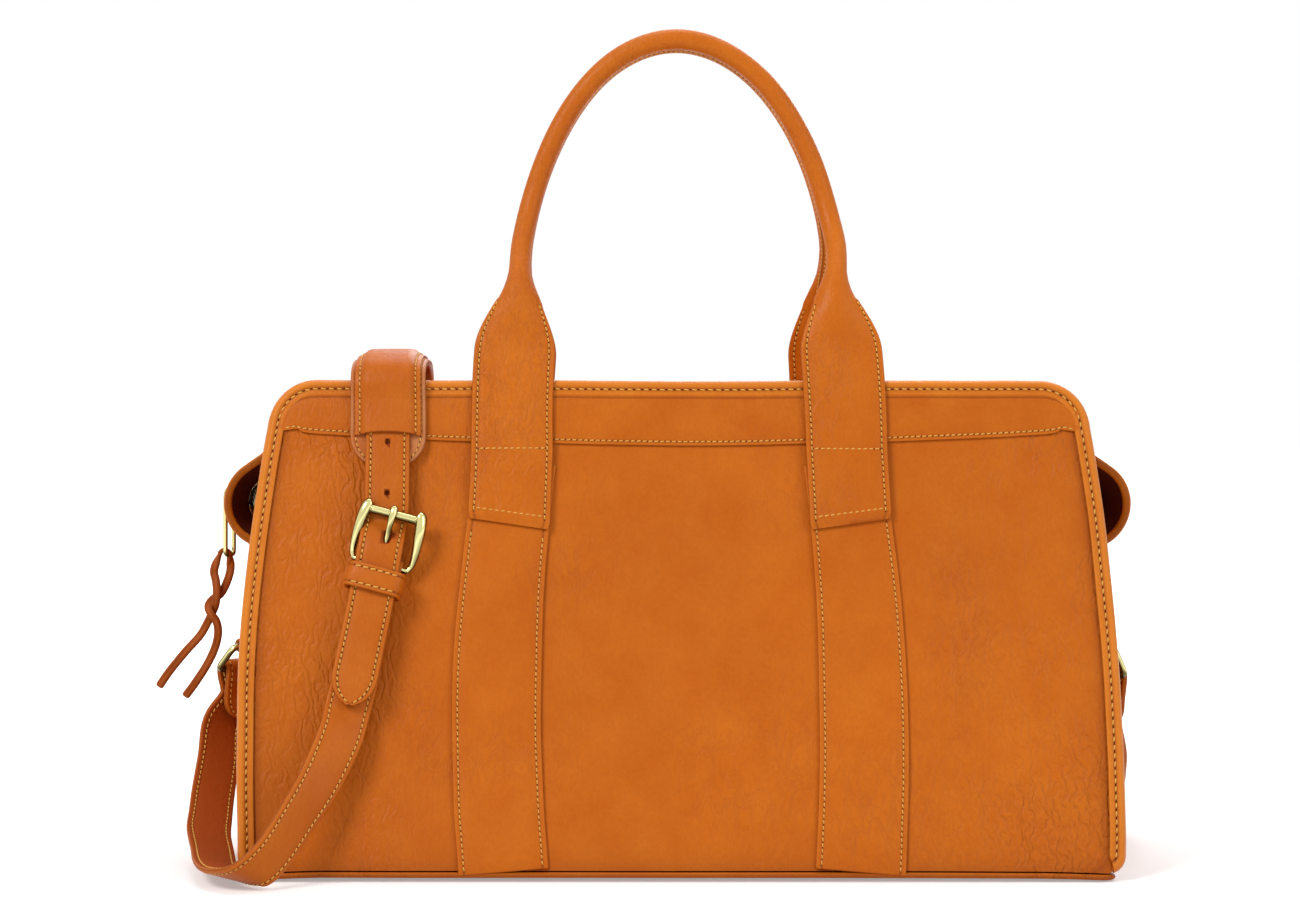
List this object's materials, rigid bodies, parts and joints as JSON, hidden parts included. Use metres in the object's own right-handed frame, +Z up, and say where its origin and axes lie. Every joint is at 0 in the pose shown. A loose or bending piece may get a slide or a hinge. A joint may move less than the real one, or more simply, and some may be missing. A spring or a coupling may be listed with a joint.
{
  "type": "satchel",
  "caption": "Zip-top leather satchel with rolled folding handles, bound panels, pinched gussets, zip end ears and a buckled shoulder strap with a pad.",
  "frame": {"origin": "middle of the base panel's underside, which rests on the floor", "axes": "+X to the bag's right seen from its front, -Y towards the front, +Z up"},
  "size_m": [0.5903, 0.3059, 0.4923],
  "materials": {
    "tan_leather": "smooth vegetable tanned tan leather, satin, with golden stitching",
    "edge_leather": "smooth tan binding leather, satin, a little lighter where it is folded",
    "board": "dull stiffener board",
    "zip_tape": "dark woven zip tape with metal teeth",
    "brass": "polished solid brass"
  },
  "bodies": {
    "bag": {"front_panel": "tan_leather", "front_binding": "edge_leather", "front_yoke": "tan_leather", "front_left_band": "tan_leather", "front_left_tab": "tan_leather", "front_right_band": "tan_leather", "front_right_tab": "tan_leather", "back_panel": "tan_leather", "back_binding": "edge_leather", "back_yoke": "tan_leather", "back_left_band": "tan_leather", "back_left_tab": "tan_leather", "back_right_band": "tan_leather", "back_right_tab": "tan_leather", "base_panel": "tan_leather", "base_board": "board", "left_gusset": "tan_leather", "left_ear_front": "tan_leather", "left_ear_back": "tan_leather", "left_ear_tape": "zip_tape", "left_ring": "brass", "left_ring_tab": "tan_leather", "left_strap_rivet": "brass", "right_gusset": "tan_leather", "right_ear_front": "tan_leather", "right_ear_back": "tan_leather", "right_ear_tape": "zip_tape", "right_ring": "brass", "right_ring_tab": "tan_leather", "right_strap_rivet": "brass", "buckle_strap": "tan_leather", "billet_strap": "tan_leather", "keeper": "tan_leather", "buckle_frame": "brass", "shoulder_pad": "tan_leather", "pad_top_band": "tan_leather"},
    "front_handle": {"front_handle": "tan_leather"},
    "back_handle": {"back_handle": "tan_leather"},
    "front_flap": {"front_zip_flap": "tan_leather", "front_zip_tape": "zip_tape"},
    "back_flap": {"back_zip_flap": "tan_leather", "back_zip_tape": "zip_tape"},
    "slider": {"zip_slider": "brass", "slider_underside": "brass"},
    "pull": {"zip_pull": "brass", "pull_thong": "tan_leather", "thong_knot": "tan_leather"},
    "prong": {"buckle_prong": "brass"}
  },
  "joints": [
    {"name": "front_handle_fold", "type": "hinge", "parent": "bag", "child": "front_handle", "pos_m": [0, -0.06448, 0.24274], "axis": [1, 0, 0], "range_deg": [0, 150]},
    {"name": "back_handle_fold", "type": "hinge", "parent": "bag", "child": "back_handle", "pos_m": [0, 0.06448, 0.24274], "axis": [-1, 0, 0], "range_deg": [0, 150]},
    {"name": "front_flap_turn", "type": "hinge", "parent": "bag", "child": "front_flap", "pos_m": [0, -0.04285, 0.2768], "axis": [-1, 0, 0], "range_deg": [0, 70]},
    {"name": "back_flap_turn", "type": "hinge", "parent": "bag", "child": "back_flap", "pos_m": [0, 0.04285, 0.2768], "axis": [1, 0, 0], "range_deg": [0, 70]},
    {"name": "slider_run", "type": "hinge", "parent": "bag", "child": "slider", "pos_m": [-0.24, 0, 0.2095], "axis": [0, 1, 0], "range_deg": [0, 24]},
    {"name": "pull_swing", "type": "hinge", "parent": "slider", "child": "pull", "pos_m": [-0.26739, 0, 0.21532], "axis": [0, 1, 0], "range_deg": [0, 140]},
    {"name": "prong_lift", "type": "hinge", "parent": "bag", "child": "prong", "pos_m": [-0.17214, -0.08153, 0.1819], "axis": [0.9888, -0.0334, -0.1453], "range_deg": [0, 7]}
  ]
}
